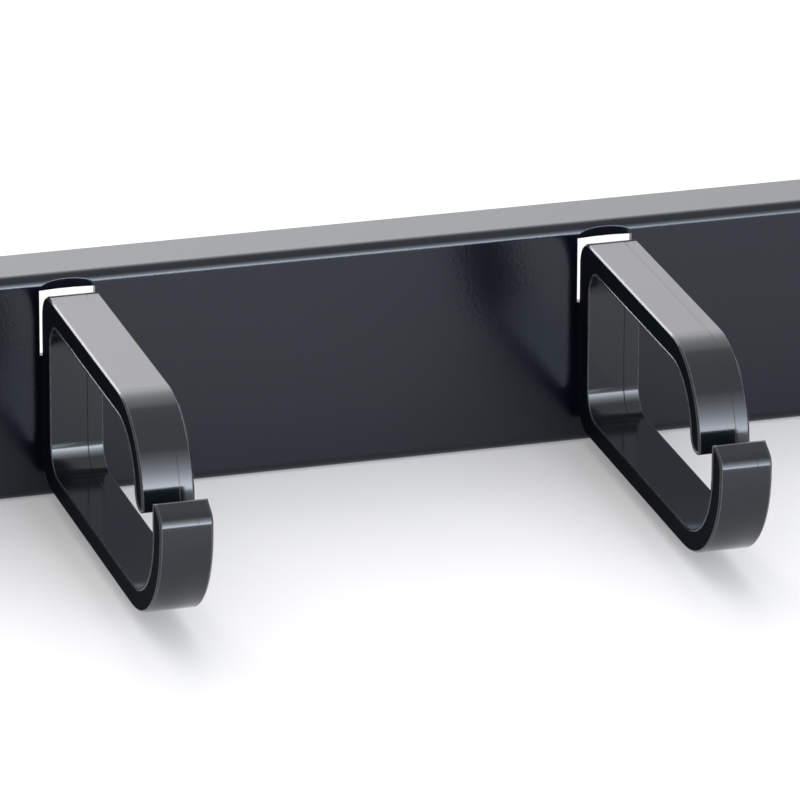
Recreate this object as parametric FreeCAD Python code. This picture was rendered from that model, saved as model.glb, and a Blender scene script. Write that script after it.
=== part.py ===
import FreeCAD, Part
import math
import os

# Horizontal cable manager for a 19 inch rack, one rack unit high.
# A folded steel panel carries five moulded D rings that cables are laid
# through.  Each ring hooks into an arched slot in the panel and snaps
# over a small window below it.
#
# Millimetres.  X runs along the panel, -Y points out of the rack towards
# the person who lays the cables, and +Z is up.  The origin is the centre
# of the plane that the panel's ears bear on, which is the rear face of the
# sheet.

os.makedirs("parts", exist_ok=True)

# Panel
PANEL_LENGTH = 482.6
PANEL_HEIGHT = 43.66
SHEET = 1.5
BEND_RADIUS = 2.1
FLANGE_DEPTH = 12.9
FLANGE_LENGTH = 444.0
RELIEF_WIDTH = 1.6
RELIEF_DEPTH = 3.2
EAR_CORNER = 1.2

# Rack fixing slots in the ears
RACK_SPACING_X = 465.1
RACK_SPACING_Z = 31.75
RACK_SLOT_LENGTH = 10.4
RACK_SLOT_WIDTH = 6.8

# Places of the rings along the panel
RING_COUNT = 5
RING_PITCH = 103.75

# Slot and window behind each ring
SLOT_WIDTH = 10.6
SLOT_BOTTOM = 6.4
SLOT_TOP = 19.1
SCOOP_RADIUS = 30.0
SCOOP_DEPTH = 0.4
WINDOW_WIDTH = 5.6
WINDOW_BOTTOM = -12.0
WINDOW_HEIGHT = 4.8

# Ring, seen from the side
RING_WIDTH = 10.1
RING_TOP = 19.5
RING_BOTTOM = -18.4
ARM = 4.5
BACK_BAND = 6.2
BACK_CORNER = 5.3
INNER_CORNER = 5.0
FINGER_FACE = 71.5
FINGER_BACK = 67.0
FINGER_END = 2.0
FINGER_BEND = 17.0
FINGER_INNER_BEND = 11.8
HOOK_FACE = 84.0
HOOK_BACK = 79.2
HOOK_REAR_END = 7.65
HOOK_FRONT_END = 5.2
HOOK_BEND = 20.6
HOOK_INNER_BEND = 15.4

# Rounds of the two tips: the finger's rear, and the front of the hook's sloping nose
FINGER_TIP_ROUND = 3.2
FINGER_TIP_EDGE = 0.6
HOOK_TIP_ROUND = 3.0
HOOK_TIP_EDGE = 0.8

# Ring, seen in section
EDGE_CHAMFER = 0.35
LIP_WIDTH = 0.5
LIP_RISE = 0.15
LIP_CHAMFER = 0.12

# Tongue and nib on the back of the ring
TONGUE_WIDTH = 6.4
TONGUE_HEIGHT = 6.0
TONGUE_LEG = 6.0
TONGUE_THICKNESS = 2.4
TONGUE_PLAY = 0.1
TONGUE_EDGE = 1.0
NIB_WIDTH = 5.0
NIB_HEIGHT = 4.2
NIB_DEPTH = 1.2
NIB_LAND = 1.5

# How far a cutting shape runs past what it cuts, and a joined one into it
OVERRUN = 1.0

# How near two places or lengths are when they count as the same
SAME = 1e-6

# How far an edge's middle may lie from the place it's looked for
NEARBY = 0.4

HALF_HEIGHT = PANEL_HEIGHT / 2
FRONT = -SHEET


def box(x0, x1, y0, y1, z0, z1):
    """A block between two opposite corners."""
    return Part.makeBox(x1 - x0, y1 - y0, z1 - z0, FreeCAD.Vector(x0, y0, z0))


def through_sheet(x0, x1, z0, z1):
    """A block that cuts an oblong opening through the front sheet."""
    return box(x0, x1, FRONT - OVERRUN, OVERRUN, z0, z1)


def side_wire(steps, x):
    """A closed wire in the plane X = x.

    A step is a point (y, z), or an arc (y, z, radius, from, to) with its
    angles in degrees.  Straight lines join what doesn't touch.
    """

    def on_circle(step, degrees):
        turn = math.radians(degrees)
        y = step[0] + step[2] * math.cos(turn)
        z = step[1] + step[2] * math.sin(turn)
        return FreeCAD.Vector(x, y, z)

    edges = []
    first = None
    last = None
    for step in steps:
        if len(step) == 2:
            start = FreeCAD.Vector(x, step[0], step[1])
            end = start
        else:
            start = on_circle(step, step[3])
            end = on_circle(step, step[4])
        if last is None:
            first = start
        elif last.distanceToPoint(start) > SAME:
            edges.append(Part.LineSegment(last, start).toShape())
        if len(step) == 5:
            middle = on_circle(step, (step[3] + step[4]) / 2)
            edges.append(Part.Arc(start, middle, end).toShape())
        last = end
    if last.distanceToPoint(first) > SAME:
        edges.append(Part.LineSegment(last, first).toShape())
    return Part.Wire(edges)


def prism(steps, x0, x1):
    """A side outline pushed from X = x0 to X = x1."""
    return Part.Face(side_wire(steps, x0)).extrude(FreeCAD.Vector(x1 - x0, 0, 0))


# The folded panel

def channel():
    """The front sheet with its two flanges folded back along the length."""
    outer = BEND_RADIUS
    inner = BEND_RADIUS - SHEET
    top = HALF_HEIGHT
    rear = FRONT + FLANGE_DEPTH
    steps = [
        (rear, top),
        (FRONT + outer, top - outer, outer, 90, 180),
        (FRONT + outer, -top + outer, outer, 180, 270),
        (rear, -top),
        (rear, -top + SHEET),
        (FRONT + outer, -top + outer, inner, 270, 180),
        (FRONT + outer, top - outer, inner, 180, 90),
        (rear, top - SHEET),
    ]
    return prism(steps, -FLANGE_LENGTH / 2, FLANGE_LENGTH / 2)


def ears():
    """The flat strip that reaches past the flanges to the rack's rails."""
    half = PANEL_LENGTH / 2
    strip = box(-half, half, FRONT, 0, -HALF_HEIGHT, HALF_HEIGHT)
    corners = [e for e in strip.Edges if abs(e.BoundBox.YLength - SHEET) < SAME]
    strip = strip.makeFillet(EAR_CORNER, corners)
    reach = FLANGE_LENGTH / 2 + RELIEF_WIDTH
    for edge_z in (-HALF_HEIGHT, HALF_HEIGHT):
        strip = strip.cut(through_sheet(-reach, reach, edge_z - RELIEF_DEPTH, edge_z + RELIEF_DEPTH))
    return strip


def rack_slot(x, z):
    """A rounded slot through an ear, long way along X."""
    radius = RACK_SLOT_WIDTH / 2
    half = RACK_SLOT_LENGTH / 2 - radius
    middle = through_sheet(x - half, x + half, z - radius, z + radius)
    ends = []
    for end_x in (x - half, x + half):
        start = FreeCAD.Vector(end_x, FRONT - OVERRUN, z)
        ends.append(Part.makeCylinder(radius, SHEET + 2 * OVERRUN, start, FreeCAD.Vector(0, 1, 0)))
    return middle.fuse(ends)


def ring_slot(x):
    """The slot a ring hooks into, and the shallow scoop above it in the fold."""
    half = SLOT_WIDTH / 2
    opening = through_sheet(x - half, x + half, SLOT_BOTTOM, SLOT_TOP)
    middle = FreeCAD.Vector(x, FRONT + SCOOP_DEPTH - SCOOP_RADIUS, SLOT_TOP)
    scoop = Part.makeCylinder(SCOOP_RADIUS, HALF_HEIGHT - SLOT_TOP + OVERRUN, middle)
    return opening.fuse(scoop)


def ring_window(x):
    """The small window that the ring's nib snaps into."""
    half = WINDOW_WIDTH / 2
    return through_sheet(x - half, x + half, WINDOW_BOTTOM, WINDOW_BOTTOM + WINDOW_HEIGHT)


def panel(places):
    """The whole panel with its slots cut."""
    sheet = channel().fuse(ears()).removeSplitter()
    cuts = [
        rack_slot(side_x * RACK_SPACING_X / 2, side_z * RACK_SPACING_Z / 2)
        for side_x in (-1, 1)
        for side_z in (-1, 1)
    ]
    for x in places:
        cuts.append(ring_slot(x))
        cuts.append(ring_window(x))
    return sheet.cut(cuts)


# The moulded ring

def ring_outline(outer, inner, finger_end, nose):
    """The ring's side outline, drawn in from its outer and inner faces.

    It runs from the end of the upper finger back along the top, down the
    back, out along the bottom and up to the hook's nose, given as its front
    and rear heights, then returns inside.
    """
    finger_z = RING_TOP - FINGER_BEND
    finger_inner_z = RING_TOP - ARM - FINGER_INNER_BEND
    hook_z = RING_BOTTOM + HOOK_BEND
    hook_inner_z = RING_BOTTOM + ARM + HOOK_INNER_BEND
    corner_out = BACK_BAND + INNER_CORNER
    outward_steps = [
        (FINGER_FACE - outer, finger_end),
        (FINGER_FACE - FINGER_BEND, finger_z, FINGER_BEND - outer, 0, 90),
        (BACK_CORNER, RING_TOP - BACK_CORNER, BACK_CORNER - outer, 90, 180),
        (BACK_CORNER, RING_BOTTOM + BACK_CORNER, BACK_CORNER - outer, 180, 270),
        (HOOK_FACE - HOOK_BEND, hook_z, HOOK_BEND - outer, 270, 360),
        (HOOK_FACE - outer, nose[0]),
        (HOOK_BACK + inner, nose[1]),
        (HOOK_BACK - HOOK_INNER_BEND, hook_inner_z, HOOK_INNER_BEND + inner, 360, 270),
        (corner_out, RING_BOTTOM + ARM + INNER_CORNER, INNER_CORNER + inner, 270, 180),
        (corner_out, RING_TOP - ARM - INNER_CORNER, INNER_CORNER + inner, 180, 90),
        (FINGER_BACK - FINGER_INNER_BEND, finger_inner_z, FINGER_INNER_BEND + inner, 90, 0),
        (FINGER_BACK + inner, finger_end),
    ]
    steps = []
    for step in outward_steps:
        if len(step) == 2:
            out, z = step
            steps.append((FRONT - out, z))
        else:
            out, z, radius, turn_from, turn_to = step
            steps.append((FRONT - out, z, radius, 180 - turn_from, 180 - turn_to))
    return steps


def round_crosswise(solid, out, z, radius):
    """Round the crosswise edge near a place on the ring's side."""
    edges = [
        e for e in solid.Edges
        if e.BoundBox.YLength < SAME
        and e.BoundBox.ZLength < SAME
        and math.hypot(e.CenterOfMass.y - FRONT + out, e.CenterOfMass.z - z) < NEARBY
    ]
    return solid.makeFillet(radius, edges)


def edges_across(solid, x):
    """The edges that lie in the plane X = x."""
    return [e for e in solid.Edges if max(abs(v.X - x) for v in e.Vertexes) < SAME]


def break_arrises(solid, planes, size):
    """Chamfer the edges that lie in the given planes across the bar."""
    arrises = []
    for x in planes:
        arrises += [e for e in solid.Edges if max(abs(v.X - x) for v in e.Vertexes) < SAME]
    return solid.makeChamfer(size, arrises)


def ring_bar(left, right):
    """The ring's bar between two X planes, with its two tips rounded."""
    nose = (HOOK_FRONT_END, HOOK_REAR_END)
    bar = prism(ring_outline(0, 0, FINGER_END, nose), left, right)
    bar = round_crosswise(bar, FINGER_BACK, FINGER_END, FINGER_TIP_ROUND)
    bar = round_crosswise(bar, FINGER_FACE, FINGER_END, FINGER_TIP_EDGE)
    bar = round_crosswise(bar, HOOK_FACE, HOOK_FRONT_END, HOOK_TIP_ROUND)
    return round_crosswise(bar, HOOK_BACK, HOOK_REAR_END, HOOK_TIP_EDGE)


def lip_band(left, right):
    """The thin band round the ring's inside that stands proud of its sides."""
    high = HOOK_REAR_END + OVERRUN
    low = FINGER_END + LIP_WIDTH
    beyond = prism(ring_outline(-OVERRUN, LIP_WIDTH, low, (high, high)), left - OVERRUN, right + OVERRUN)
    beyond = round_crosswise(beyond, FINGER_BACK + LIP_WIDTH, low, FINGER_TIP_ROUND - LIP_WIDTH)
    return ring_bar(left, right).cut(beyond)


def tongue(x):
    """The tongue that goes through the slot and hangs down behind the sheet."""
    back = TONGUE_PLAY + TONGUE_THICKNESS
    low = SLOT_BOTTOM - TONGUE_LEG
    high = SLOT_BOTTOM + TONGUE_HEIGHT
    steps = [
        (FRONT - OVERRUN, SLOT_BOTTOM),
        (TONGUE_PLAY, SLOT_BOTTOM),
        (TONGUE_PLAY, low),
        (back - TONGUE_EDGE, low),
        (back, low + TONGUE_EDGE),
        (back - TONGUE_EDGE, high - TONGUE_EDGE, TONGUE_EDGE, 0, 90),
        (FRONT - OVERRUN, high),
    ]
    return prism(steps, x - TONGUE_WIDTH / 2, x + TONGUE_WIDTH / 2)


def nib(x):
    """The nib that snaps into the window: square above, ramped below."""
    low = WINDOW_BOTTOM + (WINDOW_HEIGHT - NIB_HEIGHT) / 2
    high = low + NIB_HEIGHT
    steps = [
        (FRONT - OVERRUN, low),
        (FRONT, low),
        (FRONT + NIB_DEPTH, high - NIB_LAND),
        (FRONT + NIB_DEPTH, high),
        (FRONT - OVERRUN, high),
    ]
    return prism(steps, x - NIB_WIDTH / 2, x + NIB_WIDTH / 2)


def ring(x):
    """One moulded ring: a bar bent into an open D, with a lip round its inside."""
    left = x - RING_WIDTH / 2
    right = x + RING_WIDTH / 2
    bar = ring_bar(left + LIP_RISE, right - LIP_RISE)
    bar = break_arrises(bar, (left + LIP_RISE, right - LIP_RISE), EDGE_CHAMFER)
    lip = break_arrises(lip_band(left, right), (left, right), LIP_CHAMFER)
    return bar.fuse([lip, tongue(x), nib(x)]).removeSplitter()


places = [(i - (RING_COUNT - 1) / 2) * RING_PITCH for i in range(RING_COUNT)]
panel(places).exportStep("parts/panel.step")
for number, place in enumerate(places, start=1):
    ring(place).exportStep("parts/ring_%d.step" % number)
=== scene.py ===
"""A 1U horizontal cable manager: a folded steel panel with a row of moulded D-rings, dressed on its CAD frame."""
import math

import bmesh
import bpy
from mathutils import Matrix, Vector


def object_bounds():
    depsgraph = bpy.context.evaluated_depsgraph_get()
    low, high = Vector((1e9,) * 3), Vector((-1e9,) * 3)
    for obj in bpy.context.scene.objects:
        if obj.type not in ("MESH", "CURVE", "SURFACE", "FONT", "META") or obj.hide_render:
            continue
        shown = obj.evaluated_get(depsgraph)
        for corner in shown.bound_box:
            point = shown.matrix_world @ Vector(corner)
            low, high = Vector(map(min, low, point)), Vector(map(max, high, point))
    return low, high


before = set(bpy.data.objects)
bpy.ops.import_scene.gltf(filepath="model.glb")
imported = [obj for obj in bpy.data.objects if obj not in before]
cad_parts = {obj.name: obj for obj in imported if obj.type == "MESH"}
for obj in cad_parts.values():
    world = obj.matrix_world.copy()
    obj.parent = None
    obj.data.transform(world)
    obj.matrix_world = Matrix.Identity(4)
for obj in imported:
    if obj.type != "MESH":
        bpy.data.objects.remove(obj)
cad_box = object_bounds()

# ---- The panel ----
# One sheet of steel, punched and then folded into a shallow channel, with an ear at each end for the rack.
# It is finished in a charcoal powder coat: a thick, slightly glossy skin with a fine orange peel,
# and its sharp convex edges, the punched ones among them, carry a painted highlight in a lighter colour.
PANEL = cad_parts["panel"]
COAT_COLOUR = (0.0015, 0.0020, 0.0050, 1)
# The next colour is a painted highlight, laid on the coat's sharp convex edges.
COAT_EDGE_HIGHLIGHT = (0.20, 0.21, 0.24, 1)
COAT_ROUGHNESS = 0.16
COAT_REFLECTANCE = 0.42
COAT_TINT = (0.90, 0.95, 1, 1)
ORANGE_PEEL_SIZE = 0.0007
ORANGE_PEEL_STRENGTH = 0.25
EDGE_SOFTNESS = 0.00025
GLOSS_DRIFT = 0.03
RELIEF_HEIGHT = 0.00005


def socket(group, name, kind, default=None, is_input=True):
    made = group.interface.new_socket(name, in_out="INPUT" if is_input else "OUTPUT", socket_type=kind)
    if default is not None:
        made.default_value = default
    return made


def node(tree, kind, where, **settings):
    made = tree.nodes.new(kind)
    made.location = where
    for name, value in settings.items():
        setattr(made, name, value)
    return made


def sum_of(tree, operation, where, *terms):
    """One Math node. Each term is a number or the socket that it comes from, and the answer is a socket."""
    made = node(tree, "ShaderNodeMath", where, operation=operation)
    for place, term in zip(made.inputs, terms):
        if isinstance(term, bpy.types.NodeSocket):
            tree.links.new(term, place)
        else:
            place.default_value = term
    return made.outputs["Value"]


def painted_edge_highlight_group():
    """A mask for a painted highlight: 1 on convex edges and fading into the faces, broken up by a fine noise."""
    group = bpy.data.node_groups.new("Painted edge highlight", "ShaderNodeTree")
    socket(group, "Width", "NodeSocketFloat", 0.0005)
    socket(group, "Breakup scale", "NodeSocketFloat", 900.0)
    socket(group, "Mask", "NodeSocketFloat", is_input=False)
    given = node(group, "NodeGroupInput", (-900, 0))
    given_back = node(group, "NodeGroupOutput", (100, 0))
    round_normal = node(group, "ShaderNodeBevel", (-700, 100), samples=4)
    group.links.new(given.outputs["Width"], round_normal.inputs["Radius"])
    flat_normal = node(group, "ShaderNodeNewGeometry", (-700, -100))
    turn = node(group, "ShaderNodeVectorMath", (-500, 0), operation="DOT_PRODUCT")
    group.links.new(round_normal.outputs["Normal"], turn.inputs[0])
    group.links.new(flat_normal.outputs["Normal"], turn.inputs[1])
    spread = node(group, "ShaderNodeMapRange", (-300, 0))
    spread.inputs["From Min"].default_value = 0.995
    spread.inputs["From Max"].default_value = 0.80
    group.links.new(turn.outputs["Value"], spread.inputs["Value"])
    place = node(group, "ShaderNodeTexCoord", (-700, -300))
    breakup = node(group, "ShaderNodeTexNoise", (-500, -300))
    group.links.new(place.outputs["Object"], breakup.inputs["Vector"])
    group.links.new(given.outputs["Breakup scale"], breakup.inputs["Scale"])
    mask = sum_of(group, "MULTIPLY", (-100, 0), spread.outputs["Result"], breakup.outputs["Fac"])
    group.links.new(mask, given_back.inputs["Mask"])
    return group


def fine_grain_group():
    """Two sizes of noise: a height for a bump, and a slow drift from 0 to 1 for the gloss."""
    group = bpy.data.node_groups.new("Fine grain", "ShaderNodeTree")
    socket(group, "Grain size", "NodeSocketFloat", 0.0006)
    socket(group, "Drift size", "NodeSocketFloat", 0.05)
    socket(group, "Height", "NodeSocketFloat", is_input=False)
    socket(group, "Drift", "NodeSocketFloat", is_input=False)
    given = node(group, "NodeGroupInput", (-900, 0))
    given_back = node(group, "NodeGroupOutput", (100, 0))
    place = node(group, "ShaderNodeTexCoord", (-900, -200))
    for row, (size, output, detail) in enumerate((("Grain size", "Height", 3.0), ("Drift size", "Drift", 2.0))):
        scale = sum_of(group, "DIVIDE", (-600, -250 * row), 1.0, given.outputs[size])
        noise = node(group, "ShaderNodeTexNoise", (-350, -250 * row))
        noise.inputs["Detail"].default_value = detail
        group.links.new(place.outputs["Object"], noise.inputs["Vector"])
        group.links.new(scale, noise.inputs["Scale"])
        group.links.new(noise.outputs["Fac"], given_back.inputs[output])
    return group


painted_edge_highlight = painted_edge_highlight_group()
fine_grain = fine_grain_group()


def finish_material(name, colour, edge_highlight_colour, roughness, grain_size, grain_strength):
    """A dark finish whose gloss drifts slightly, with a grain, soft edges, and a painted highlight of a lighter
    colour on its convex edges.
    """
    material = bpy.data.materials.new(name)
    material.use_nodes = True
    tree = material.node_tree
    shader = tree.nodes["Principled BSDF"]
    grain = node(tree, "ShaderNodeGroup", (-900, -100), node_tree=fine_grain)
    grain.inputs["Grain size"].default_value = grain_size
    highlight_mask = node(tree, "ShaderNodeGroup", (-900, 200), node_tree=painted_edge_highlight)
    highlight_mask.inputs["Width"].default_value = EDGE_SOFTNESS

    # The base colour is mixed with a painted highlight colour along the convex edges.
    paint = node(tree, "ShaderNodeMix", (-500, 300), data_type="RGBA")
    paint.inputs["A"].default_value = colour
    paint.inputs["B"].default_value = edge_highlight_colour
    tree.links.new(highlight_mask.outputs["Mask"], paint.inputs["Factor"])
    tree.links.new(paint.outputs["Result"], shader.inputs["Base Color"])

    gloss = node(tree, "ShaderNodeMapRange", (-500, 0))
    gloss.inputs["To Min"].default_value = roughness - GLOSS_DRIFT
    gloss.inputs["To Max"].default_value = roughness + GLOSS_DRIFT
    tree.links.new(grain.outputs["Drift"], gloss.inputs["Value"])
    tree.links.new(gloss.outputs["Result"], shader.inputs["Roughness"])

    soft_edges = node(tree, "ShaderNodeBevel", (-900, -400), samples=6, name="Soft edges")
    soft_edges.inputs["Radius"].default_value = EDGE_SOFTNESS
    relief = node(tree, "ShaderNodeBump", (-300, -300), name="Relief")
    relief.inputs["Strength"].default_value = grain_strength
    relief.inputs["Distance"].default_value = RELIEF_HEIGHT
    tree.links.new(grain.outputs["Height"], relief.inputs["Height"])
    tree.links.new(soft_edges.outputs["Normal"], relief.inputs["Normal"])
    tree.links.new(relief.outputs["Normal"], shader.inputs["Normal"])
    return material


powder_coat = finish_material(
    "powder_coat", COAT_COLOUR, COAT_EDGE_HIGHLIGHT, COAT_ROUGHNESS, ORANGE_PEEL_SIZE, ORANGE_PEEL_STRENGTH)
shader = powder_coat.node_tree.nodes["Principled BSDF"]
shader.inputs["Specular IOR Level"].default_value = COAT_REFLECTANCE
shader.inputs["Specular Tint"].default_value = COAT_TINT
PANEL.material_slots[0].material = powder_coat

# ---- The D-rings ----
# Five open loops moulded in black nylon, each hooked through a slot of the panel by its tongue.
# The faces of the loop are polished, its two sides are matt, and a fine line shows where the mould's halves met.
RINGS = [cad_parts[name] for name in sorted(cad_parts) if name.startswith("ring_")]
RING_PITCH = 0.10375
PLASTIC_COLOUR = (0.0044, 0.0064, 0.0088, 1)
# The next colour is a painted highlight, laid on the rings' sharp convex edges.
PLASTIC_EDGE_HIGHLIGHT = (0.34, 0.35, 0.38, 1)
MATT_ROUGHNESS = 0.50
MATT_REFLECTANCE = 0.003
MATT_GRAIN_SIZE = 0.0009
MATT_GRAIN_STRENGTH = 0.30
POLISHED_ROUGHNESS = 0.13
POLISHED_IOR = 1.46
PARTING_LINE_OFFSET = 0.0021
PARTING_LINE_WIDTH = 0.00012
PARTING_LINE_HEIGHT = 0.00002


def moulding_marks_group():
    """Where a row of mouldings is polished by the mould, and where the mould's halves left their line."""
    group = bpy.data.node_groups.new("Moulding marks", "ShaderNodeTree")
    socket(group, "Pitch", "NodeSocketFloat", 0.1)
    socket(group, "Line offset", "NodeSocketFloat", 0.002)
    socket(group, "Line width", "NodeSocketFloat", 0.0001)
    socket(group, "Polish", "NodeSocketFloat", is_input=False)
    socket(group, "Line", "NodeSocketFloat", is_input=False)
    given = node(group, "NodeGroupInput", (-1100, 0))
    given_back = node(group, "NodeGroupOutput", (500, 0))

    surface = node(group, "ShaderNodeNewGeometry", (-1100, 300))
    facing = node(group, "ShaderNodeSeparateXYZ", (-900, 300))
    group.links.new(surface.outputs["True Normal"], facing.inputs["Vector"])
    sideways = sum_of(group, "ABSOLUTE", (-700, 300), facing.outputs["X"])
    polish = node(group, "ShaderNodeMapRange", (-500, 300))
    polish.inputs["From Min"].default_value = 0.95
    polish.inputs["From Max"].default_value = 0.80
    group.links.new(sideways, polish.inputs["Value"])
    group.links.new(polish.outputs["Result"], given_back.inputs["Polish"])

    place = node(group, "ShaderNodeTexCoord", (-1100, -200))
    along = node(group, "ShaderNodeSeparateXYZ", (-900, -200))
    group.links.new(place.outputs["Object"], along.inputs["Vector"])
    from_line = sum_of(group, "SUBTRACT", (-700, -200), along.outputs["X"], given.outputs["Line offset"])
    half_pitch = sum_of(group, "MULTIPLY", (-700, -400), given.outputs["Pitch"], 0.5)
    left_end = sum_of(group, "MULTIPLY", (-500, -500), half_pitch, -1.0)
    in_pitch = sum_of(group, "WRAP", (-300, -200), from_line, half_pitch, left_end)
    distance = sum_of(group, "ABSOLUTE", (-100, -200), in_pitch)
    line = node(group, "ShaderNodeMapRange", (200, -200))
    line.inputs["To Min"].default_value = 1.0
    line.inputs["To Max"].default_value = 0.0
    group.links.new(distance, line.inputs["Value"])
    group.links.new(given.outputs["Line width"], line.inputs["From Max"])
    group.links.new(line.outputs["Result"], given_back.inputs["Line"])
    return group


black_nylon = finish_material(
    "black_nylon", PLASTIC_COLOUR, PLASTIC_EDGE_HIGHLIGHT, MATT_ROUGHNESS, MATT_GRAIN_SIZE, MATT_GRAIN_STRENGTH)
tree = black_nylon.node_tree
shader = tree.nodes["Principled BSDF"]
shader.inputs["Specular IOR Level"].default_value = MATT_REFLECTANCE
shader.inputs["Coat Roughness"].default_value = POLISHED_ROUGHNESS
shader.inputs["Coat IOR"].default_value = POLISHED_IOR
marks = node(tree, "ShaderNodeGroup", (-900, -700), node_tree=moulding_marks_group())
marks.inputs["Pitch"].default_value = RING_PITCH
marks.inputs["Line offset"].default_value = PARTING_LINE_OFFSET
marks.inputs["Line width"].default_value = PARTING_LINE_WIDTH
tree.links.new(marks.outputs["Polish"], shader.inputs["Coat Weight"])
seam = node(tree, "ShaderNodeBump", (-500, -600))
seam.inputs["Distance"].default_value = PARTING_LINE_HEIGHT
tree.links.new(marks.outputs["Line"], seam.inputs["Height"])
tree.links.new(tree.nodes["Soft edges"].outputs["Normal"], seam.inputs["Normal"])
tree.links.new(seam.outputs["Normal"], tree.nodes["Relief"].inputs["Normal"])
tree.links.new(seam.outputs["Normal"], shader.inputs["Coat Normal"])
for ring in RINGS:
    ring.material_slots[0].material = black_nylon

# ---- The table and the studio ----
# A white table with the product standing on its lower fold. A wide softbox high behind it lights the tops,
# one in front that is brightest along its lower edge puts the highlights on the bends,
# and a small lamp behind and to the left picks out the edges.
FLOOR_LEVEL = cad_box[0].z
FLOOR_SIZE = 6.0
TABLE_COLOUR = (0.74, 0.73, 0.72, 1)
TABLE_ROUGHNESS = 0.6
TABLE_GLOW = 0.2
TABLE_GLOW_COLOUR = (1, 0.99, 1, 1)
WHITE = (1, 1, 1, 1)

floor_mesh = bpy.data.meshes.new("floor")
floor_form = bmesh.new()
bmesh.ops.create_grid(floor_form, x_segments=2, y_segments=2, size=FLOOR_SIZE / 2)
floor_form.to_mesh(floor_mesh)
floor_form.free()
floor = bpy.data.objects.new("floor", floor_mesh)
floor.location = (0, 0, FLOOR_LEVEL)
bpy.context.scene.collection.objects.link(floor)


def background_ray(tree, where):
    """1 for the rays that show the background: straight from the camera, off a gloss, or through something clear."""
    ray = node(tree, "ShaderNodeLightPath", where)
    either = sum_of(tree, "MAXIMUM", (where[0] + 200, where[1]),
                    ray.outputs["Is Camera Ray"], ray.outputs["Is Glossy Ray"])
    return sum_of(tree, "MAXIMUM", (where[0] + 400, where[1]), either, ray.outputs["Is Transmission Ray"])


table_white = bpy.data.materials.new("table_white")
table_white.use_nodes = True
tree = table_white.node_tree
shader = tree.nodes["Principled BSDF"]
shader.inputs["Base Color"].default_value = TABLE_COLOUR
shader.inputs["Roughness"].default_value = TABLE_ROUGHNESS
shader.inputs["Emission Color"].default_value = TABLE_GLOW_COLOUR
glow = sum_of(tree, "MULTIPLY", (-400, -300), background_ray(tree, (-1100, -300)), TABLE_GLOW)
tree.links.new(glow, shader.inputs["Emission Strength"])
floor.data.materials.append(table_white)


def shade_ramp(tree, where, steps):
    """A grey ramp. Each step is its place from 0 to 1, and the share of white there."""
    ramp = node(tree, "ShaderNodeValToRGB", where)
    while len(ramp.color_ramp.elements) < len(steps):
        ramp.color_ramp.elements.new(0.5)
    for element, (place, share) in zip(ramp.color_ramp.elements, steps):
        element.position = place
        element.color = (share, share, share, 1)
    return ramp


# The sky's shades run from straight down to straight up.
SKY_SHADES = ((0.25, 1.0), (0.60, 0.55), (0.74, 0.45), (0.86, 0.95), (1.0, 1.0))
world = bpy.data.worlds.new("studio")
bpy.context.scene.world = world
world.use_nodes = True
tree = world.node_tree
background = tree.nodes["Background"]
background.inputs["Color"].default_value = WHITE
direction = node(tree, "ShaderNodeTexCoord", (-1000, 0))
parts = node(tree, "ShaderNodeSeparateXYZ", (-800, 0))
tree.links.new(direction.outputs["Generated"], parts.inputs["Vector"])
sky = shade_ramp(tree, (-600, 0), SKY_SHADES)
tree.links.new(parts.outputs["Z"], sky.inputs["Fac"])
strength = node(tree, "ShaderNodeMix", (-300, 0), data_type="FLOAT")
strength.inputs["B"].default_value = 1.0
tree.links.new(background_ray(tree, (-1000, -300)), strength.inputs["Factor"])
tree.links.new(sky.outputs["Color"], strength.inputs["A"])
tree.links.new(strength.outputs["Result"], background.inputs["Strength"])


def towards(azimuth, elevation):
    """The unit vector from the product in a direction. Azimuth 0 is in front, and 180 is behind."""
    a = math.radians(azimuth)
    e = math.radians(elevation)
    return Vector((math.sin(a) * math.cos(e), -math.cos(a) * math.cos(e), math.sin(e)))


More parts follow.
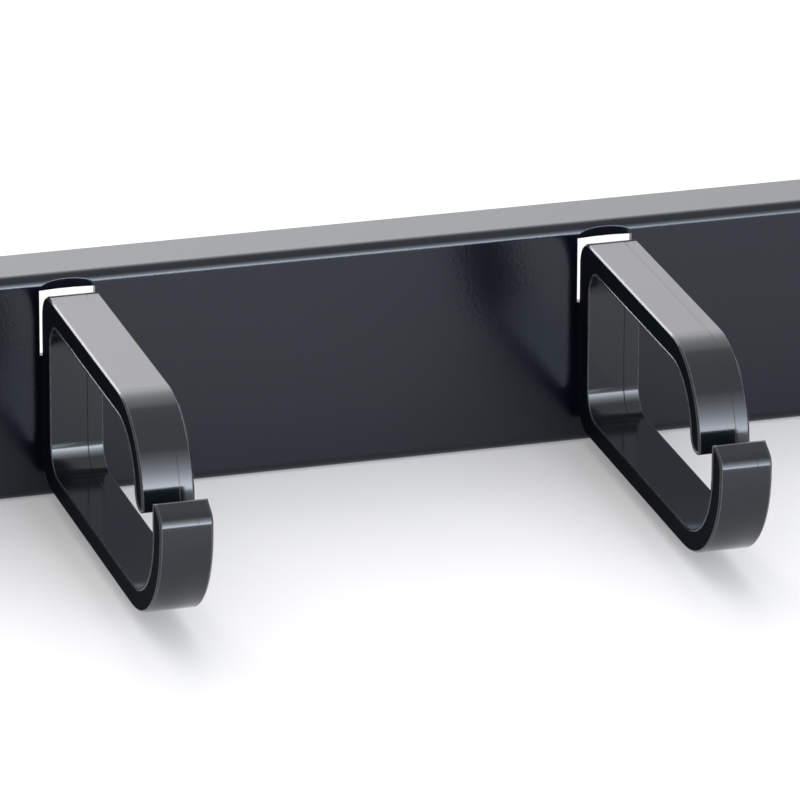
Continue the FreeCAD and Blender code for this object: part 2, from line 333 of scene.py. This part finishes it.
def softbox(name, azimuth, elevation, distance, width, height, colour, brightness, shades, sides):
    """A rectangular lamp facing the product from a direction.

    The shades are its steps from the bottom edge to the top: how far up, and the share of the brightness there.
    The sides are the same across it, from the left to the right of someone looking past the lamp at the product.
    """
    lamp = bpy.data.lights.new(name, "AREA")
    lamp.shape = "RECTANGLE"
    lamp.size = width
    lamp.size_y = height
    lamp.color = colour
    lamp.energy = brightness * math.pi * width * height
    lamp.use_nodes = True
    tree = lamp.node_tree
    place = node(tree, "ShaderNodeNewGeometry", (-800, 0))
    parts = node(tree, "ShaderNodeSeparateXYZ", (-600, 0))
    tree.links.new(place.outputs["Parametric"], parts.inputs["Vector"])
    upward = shade_ramp(tree, (-400, 0), shades)
    across = shade_ramp(tree, (-400, -250), sides)
    tree.links.new(parts.outputs["Y"], upward.inputs["Fac"])
    tree.links.new(parts.outputs["X"], across.inputs["Fac"])
    strength = sum_of(tree, "MULTIPLY", (-100, 0), upward.outputs["Color"], across.outputs["Color"])
    tree.links.new(strength, tree.nodes["Emission"].inputs["Strength"])
    made = bpy.data.objects.new(name, lamp)
    made.location = towards(azimuth, elevation) * distance
    made.rotation_mode = "QUATERNION"
    made.rotation_quaternion = towards(azimuth, elevation).to_track_quat("Z", "Y")
    bpy.context.scene.collection.objects.link(made)


EVEN_SHADES = ((0.0, 1.0), (1.0, 1.0))
BACK_SHADES = ((0.0, 0.55), (0.2, 0.80), (0.42, 1.0), (0.55, 0.75), (0.75, 0.50), (1.0, 0.30))
BACK_SIDES = ((0.0, 0.50), (0.45, 1.0), (1.0, 1.0))
FRONT_SHADES = ((0.0, 1.0), (0.12, 0.95), (0.31, 0.55), (0.52, 0.28), (0.73, 0.13), (0.88, 0.06), (1.0, 0.03))
FRONT_SIDES = ((0.0, 1.0), (0.45, 1.0), (0.75, 0.70), (1.0, 0.45))
softbox("back_softbox", 186, 42, 1.8, 2.1, 1.9, (0.97, 0.97, 1), 2.95, BACK_SHADES, BACK_SIDES)
softbox("front_softbox", 10, 23, 1.5, 1.1, 1.27, (0.81, 0.88, 1), 18.0, FRONT_SHADES, FRONT_SIDES)
softbox("edge_lamp", 202, 16, 1.8, 0.6, 0.35, (0.95, 0.96, 1), 5.0, EVEN_SHADES, EVEN_SHADES)

# ---- The camera ----
# A long lens on a stand, from the front left and a little above the panel,
# close enough to show two of the rings and the panel between them.
CAMERA_AZIMUTH = -16.528
CAMERA_ELEVATION = 20.755
CAMERA_ROLL = 0.182
CAMERA_DISTANCE = 1.643131
CAMERA_LENS = 393.404
CAMERA_AIM = Vector((-0.037571, 0.006172, -0.012592))

back = towards(CAMERA_AZIMUTH, CAMERA_ELEVATION)
lens = bpy.data.cameras.new("camera")
lens.lens = CAMERA_LENS
lens.sensor_width = 36
lens.clip_start = 0.05
lens.clip_end = 20
camera = bpy.data.objects.new("camera", lens)
camera.rotation_mode = "QUATERNION"
camera.location = CAMERA_AIM + back * CAMERA_DISTANCE
roll = Matrix.Rotation(math.radians(CAMERA_ROLL), 4, "Z").to_quaternion()
camera.rotation_quaternion = (-back).to_track_quat("-Z", "Y") @ roll
bpy.context.scene.collection.objects.link(camera)
bpy.context.scene.camera = camera
bpy.context.scene.view_settings.view_transform = "Standard"
